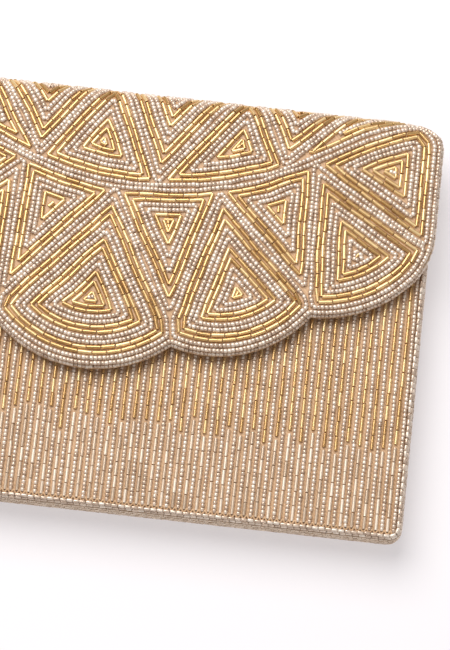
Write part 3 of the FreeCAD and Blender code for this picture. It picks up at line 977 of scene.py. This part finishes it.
def make_pouch_cloth():
    inset = WALL_ROUND - SIDE_SWELL
    x, y = grid(np.linspace(-HALF + inset, HALF - inset, 120),
                np.linspace(BOTTOM - BASE_SWELL + WALL_ROUND - 0.2, MOUTH_Y, 80))
    top = np.stack((x, y, FRONT_SATIN_Z + SINK - panel_drop(x, y)), axis=-1)
    front = skin("front_satin", top, top - (0.0, 0.0, SATIN + SINK), *PEACH)
    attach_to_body(front, "pouch")
    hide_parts("front_shell", "front_beading")

    s_bottom = BACK_FOLD_END + FOLD_Y - BOTTOM - inset + BASE_SWELL - BACK_IN
    s = np.concatenate((np.linspace(MID_WALL, BACK_FOLD_END + 4.0, 40),
                        np.linspace(BACK_FOLD_END + 4.0, s_bottom, 60)[1:]))
    share, s = grid(np.linspace(-1.0, 1.0, 120), s)
    moved_in = np.interp(s, (BACK_FOLD_END, BACK_FOLD_END + 9.0), (BEAD_LAYER, inset + BACK_IN))
    x = share * (np.minimum(strip_half(s), HALF) - moved_in)
    back = skin("back_satin", fold(x, s, SINK - BEAD_LAYER), fold(x, s, -BEAD_LAYER - SATIN),
                *PEACH)
    over_back_fold(back)
    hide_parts("back_shell", "back_beading")

    lining_inset = BEAD_LAYER + SATIN + 0.1
    for name, node, end in (("front_lining_satin", "front_lining", MOUTH_Y),
                            ("back_lining_satin", "back_lining", FOLD_FREE - 2.0)):
        x, y = grid(np.linspace(-HALF + lining_inset, HALF - lining_inset, 120),
                    np.linspace(BOTTOM + lining_inset, end, 80))
        level = (low(node, 2) + high(node, 2)) / 2
        middle = np.stack((x, y, level + ripple(x, y, 0.12, 11.0)), axis=-1)
        piece = skin(name, middle + (0.0, 0.0, 0.16), middle - (0.0, 0.0, 0.16), *LINING)
        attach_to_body(piece, "pouch")
        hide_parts(node)

    lining_z = np.linspace(high("back_lining", 2), low("front_lining", 2), 14)
    lining_wall = [np.stack((np.full(14, lining_inset + k * 0.35), lining_z), axis=-1)
                   for k in (0, 1)]
    satin_wall = [wall_profile(BEAD_LAYER - SINK), wall_profile(BEAD_LAYER + SATIN)]
    for name, (outer, inner), look, nodes in (
            ("gusset_satin", satin_wall, PEACH, "shell"),
            ("gusset_lining_satin", lining_wall, LINING, "lining")):
        walls = [np.stack([np.column_stack((perimeter(inset, count=230), np.full(230, z)))
                           for inset, z in section], axis=1) for section in (outer, inner)]
        piece = skin(name, walls[1], walls[0], *look)
        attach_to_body(piece, "pouch")
        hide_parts(*(f"{side}_gusset_{nodes}" for side in ("left", "bottom", "right")))
        lengths(perimeter(inner[0][0]))[-1]


def column_places():
    reach = HALF - BODY_EDGE
    count = int(round(2 * reach / COLUMN_PITCH)) // 2 * 2
    return np.linspace(-reach, reach, count + 1)


def body_column(number, x, first, last, place, seeds, gold, pale, turn_s):
    """One column of the body: seeds, or bugles that change from gold to a paler look on the way
    down, a painted reflection of light from below.
    """
    wander = 0.18 * math.sin(number * 1.9)
    s = np.arange(first, last + 0.01, 1.0)
    line = np.stack((x + wander * np.sin(s / 17.0 + number), s), axis=-1)
    if number % 2 == 0:
        seeds_along(seeds, line, place, pitch=BODY_SEED_PITCH, radius=BODY_SEED_R)
        return
    cut = turn_s + rng.normal(0.0, 2.2)
    # below the cut the bugles are painted paler: a painted reflection of light from below
    for part, beads in ((line[s <= cut], gold), (line[s > cut], pale)):
        if len(part) > 2:
            bugles_along(beads, part, place, pitch=BUGLE_PITCH + rng.uniform(-0.2, 0.4),
                         radius=BODY_BUGLE_R)


def clear_of_snap(beads):
    for k, row in enumerate(beads.rows):
        beads.rows[k] = row[np.hypot(row[:, 0] - SNAP[0], row[:, 1] - SNAP[1]) > SNAP_R + 1.2]


def make_front_beads():
    seeds, gold, pale = Beads(), Beads(), Beads()

    def place(points):
        x, y = points[:, 0], -points[:, 1]
        z = FRONT_SATIN_Z + SINK + BODY_BUGLE_R - 0.2 - panel_drop(x, y)
        return np.stack((x, y, z), axis=-1)

    columns = column_places()
    for number, x in enumerate(columns):
        body_column(number, x, -MOUTH_Y + 1.5, -BOTTOM - BODY_BASE + 0.8, place,
                    seeds, gold, pale, -GOLD_ENDS_Y)
    x = np.linspace(columns[0] - COLUMN_PITCH / 2, columns[-1] + COLUMN_PITCH / 2, 1600)
    arch = 1.0 - np.abs(np.cos(math.pi * (x - columns[0]) / (columns[1] - columns[0])))
    y = BOTTOM + BODY_BASE - 1.6 + 1.5 * arch ** 0.8
    loops = np.stack((x, y, FRONT_SATIN_Z + SINK + 0.5 - panel_drop(x, y)), axis=-1)
    cord = tube("front_loop_cord", loops, 0.42, segments=6)
    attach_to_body(cord, "pouch")
    for beads, name, look in ((seeds, "front_seed_beads", SILVER_SEEDS),
                              (gold, "front_gold_bugles", GOLD_BUGLES),
                              (pale, "front_sheen_painted_bugles", SHEEN_PAINTED_BUGLES)):
        clear_of_snap(beads)
        bead_pieces(name, beads, *look, rides("pouch"))


def make_back_beads():
    flat, bent = [Beads(), Beads(), Beads()], [Beads(), Beads(), Beads()]
    s_bottom = BACK_FOLD_END + FOLD_Y - BOTTOM - BODY_BASE - BACK_IN
    # the back's bugles turn paler at the same height: the same painted reflection, carried over to
    # the back
    s_turn = BACK_FOLD_END + FOLD_Y - GOLD_ENDS_Y

    def place(points):
        return fold(points[:, 0], points[:, 1], -BEAD_LAYER / 2)

    def spread(made):
        """Puts seeds, gold bugles and the paler bugles, whose colour is a painted reflection, with
        the flat beads or the ones laid over the spine.
        """
        for beads, flat_kind, bent_kind in zip(made, flat, bent):
            for row in beads.rows:
                lies = (row[:, 1] < FOLD_Y - BEND_REACH) & (row[:, 2] < DEPTH / 4)
                flat_kind.rows.append(row[lies])
                bent_kind.rows.append(row[~lies])

    probe = np.linspace(MID_WALL + ROW_PITCH / 2, s_bottom, 400)
    kept_free = np.where(probe < BEND_END + 3.0, 3.4, BODY_EDGE + BACK_IN)
    room = np.minimum(strip_half(probe), HALF) - kept_free
    for number, x in enumerate(column_places()):
        free = probe[room >= abs(x) - 0.02]
        if not len(free):
            continue
        made = [Beads(), Beads(), Beads()]
        body_column(number, x, free[0], s_bottom, place, *made, s_turn)
        spread(made)
    for side in (-1.0, 1.0):
        s = np.arange(MID_WALL, BEND_END + 3.0, 0.8)
        line = np.stack((side * (np.minimum(strip_half(s), HALF) - 0.9 - 1.2), s), axis=-1)
        edging = Beads()
        seeds_along(edging, line, place, pitch=SMALL_SEED_PITCH, radius=SMALL_SEED_R)
        spread([edging])
    for name, look, flat_kind, bent_kind in zip(("seed_beads", "gold_bugles", "sheen_painted_bugles"),
                                                (SILVER_SEEDS, GOLD_BUGLES, SHEEN_PAINTED_BUGLES),
                                                flat, bent):
        bead_pieces(f"back_{name}", flat_kind, *look, rides("pouch"))
        bead_pieces(f"spine_{name}", bent_kind, *look, over_back_fold)


def make_wall_beads():
    """Seed rows round the side walls, and the brighter close-set piping on both seams."""
    wall, piping = Beads(), Beads()
    profile = wall_profile(BEAD_LAYER / 2)
    total = lengths(profile)[-1]
    count = int(round(total / WALL_ROW_PITCH))
    for number, (inset, z) in enumerate(at_length(profile, np.linspace(0.0, total, count + 1))):
        seam = number in (0, 1, count - 1, count)
        line = perimeter(inset, 0.8)[number % 3:]

        def place(points, z=z):
            return np.column_stack((points, np.full(len(points), z)))

        if seam:
            seeds_along(piping, line, place, pitch=PIPING_PITCH, radius=PIPING_R)
        else:
            seeds_along(wall, line, place, pitch=WALL_SEED_PITCH, radius=WALL_SEED_R)
            wall.rows[-1][:, 8] = wall.rows[-1][:, 8] * 0.3 + (0.0, 0.7)[number % 2]
    bead = bead_pieces("gusset_seed_beads", wall, *BRONZE_SEEDS, rides("pouch"))[0]
    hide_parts("left_gusset_beading", "bottom_gusset_beading", "right_gusset_beading")
    bead = bead_pieces("piping_seed_beads", piping, *SILVER_SEEDS, rides("pouch"))[0]
    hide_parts("front_piping", "back_piping")


def make_trims():
    """Binding round the mouth, and the slip pocket inside."""
    front_z = (low("front_lining", 2) + FRONT_TOP_Z - 0.6) / 2
    radius = (FRONT_TOP_Z - 0.6 - low("front_lining", 2)) / 2
    x = np.linspace(-HALF + 0.6, HALF - 0.6, 200)
    around = np.linspace(0.0, 2 * math.pi, BINDING_SIDES + 1)[:-1]
    pleats = (1 + 0.05 * np.sin(x / 1.3))[:, None]
    rings = np.stack(np.broadcast_arrays(
        x[:, None], MOUTH_Y + 0.35 + 0.62 * np.cos(around)[None, :] * pleats,
        front_z + radius * np.sin(around)[None, :]), axis=-1)
    last = (len(x) - 1) * BINDING_SIDES
    faces = []
    for here in range(0, last, BINDING_SIDES):
        for m in range(BINDING_SIDES):
            w = (m + 1) % BINDING_SIDES
            faces.append((here + m, here + w, here + BINDING_SIDES + w, here + BINDING_SIDES + m))
    faces.append(tuple(reversed(range(BINDING_SIDES))))
    faces.append(tuple(last + m for m in range(BINDING_SIDES)))
    binding = mesh_piece("mouth_binding_satin", rings.reshape(-1, 3), faces, *PEACH)
    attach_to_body(binding, "pouch")
    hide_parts("mouth_binding")

    for side, name in ((-1.0, "left"), (1.0, "right")):
        z = np.linspace(high("back_lining", 2) - 1.6, low("front_lining", 2), 30)
        path = np.stack((np.full(30, side * (HALF - 1.6)), np.full(30, MOUTH_Y + 0.2), z), axis=-1)
        piece = tube(f"{name}_mouth_binding", path, 1.5, twist=0.04)
        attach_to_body(piece, "pouch")

    half = high("slip_pocket", 0)
    bottom, end = low("slip_pocket", 1), high("slip_pocket", 1)
    x, y = grid(np.linspace(-half, half, 60), np.linspace(bottom, end, 50))
    level = low("slip_pocket", 2) + 0.3
    rise = np.clip((y - bottom) / (2 * half), 0.0, 1.0) * 0.5 * (1 - (x / half) ** 2)
    middle = np.stack((x, y, level + rise + ripple(x, y, 0.08, 8.0)), axis=-1)
    pocket = skin("slip_pocket_satin", middle + (0.0, 0.0, 0.14), middle - (0.0, 0.0, 0.14),
                  *LINING)
    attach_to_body(pocket, "pouch")
    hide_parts("slip_pocket")
    hem = tube("slip_pocket_hem", middle[:, -1] + (0.0, 0.4, 0.0), 0.45, twist=0.05)
    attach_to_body(hem, "pouch")
    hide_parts("slip_pocket_binding")


make_flap_cloth()
make_flap_beads()
make_lip()
make_spine_lining()
make_pouch_cloth()
make_front_beads()
make_back_beads()
make_wall_beads()
make_trims()


# ---- stage, light and camera
FLOOR_HALF = 3.0
FLOOR_COLOUR = (0.565, 0.545, 0.552, 1.0)
FLOOR_GLOW = (1.0, 0.96, 0.98, 1.0)
VIEW_LONG_SIDE = 0.2525      # what the picture's longer side takes in at the target, in metres
CAMERA_TARGET = Vector((49.4, -6.3, 20.0)) * MM
CAMERA_DISTANCE = 1.05
CAMERA_TILT = math.radians(11.0)
CAMERA_ROLL = math.radians(6.35)
SENSOR = 36.0


def make_stage():
    mesh = bpy.data.meshes.new("floor")
    corners = ((-1, -1), (1, -1), (1, 1), (-1, 1))
    mesh.from_pydata([(x * FLOOR_HALF, y * FLOOR_HALF, 0.0) for x, y in corners], [],
                     [(0, 1, 2, 3)])
    n = Nodes("pale_floor")
    n.set(Base_Color=FLOOR_COLOUR, Roughness=0.8, Emission_Color=FLOOR_GLOW,
          Emission_Strength=0.43)
    mesh.materials.append(n.material)
    new_object("floor", mesh)

    world = bpy.data.worlds.new("studio")
    world.use_nodes = True
    background = world.node_tree.nodes["Background"]
    background.inputs["Color"].default_value = (1.0, 0.98, 0.99, 1.0)
    background.inputs["Strength"].default_value = 0.3
    bpy.context.scene.world = world


def area_light(name, place, target, size, power):
    light = bpy.data.lights.new(name, "AREA")
    light.shape = "DISK"
    light.size = size
    light.energy = power
    lamp = new_object(name, light)
    lamp.location = place
    direction = Vector(target) - Vector(place)
    lamp.rotation_euler = direction.to_track_quat("-Z", "Y").to_euler()


def make_camera():
    data = bpy.data.cameras.new("camera")
    data.sensor_width = SENSOR
    data.lens = SENSOR * CAMERA_DISTANCE / VIEW_LONG_SIDE
    camera = new_object("camera", data)
    direction = Vector((0.0, -math.sin(CAMERA_TILT), math.cos(CAMERA_TILT)))
    look = (-direction).to_track_quat("-Z", "Y").to_matrix().to_4x4()
    camera.matrix_world = (Matrix.Translation(CAMERA_TARGET + direction * CAMERA_DISTANCE)
                           @ look @ Matrix.Rotation(CAMERA_ROLL, 4, "Z"))
    bpy.context.scene.camera = camera


make_stage()
area_light("key", (-0.42, 0.68, 1.2), target=(0.0, -0.02, 0.0), size=1.25, power=22.5)
area_light("fill", (0.5, -0.9, 1.0), target=(0.0, 0.0, 0.0), size=1.0, power=2.0)
make_camera()
bpy.context.scene.view_settings.view_transform = "Standard"
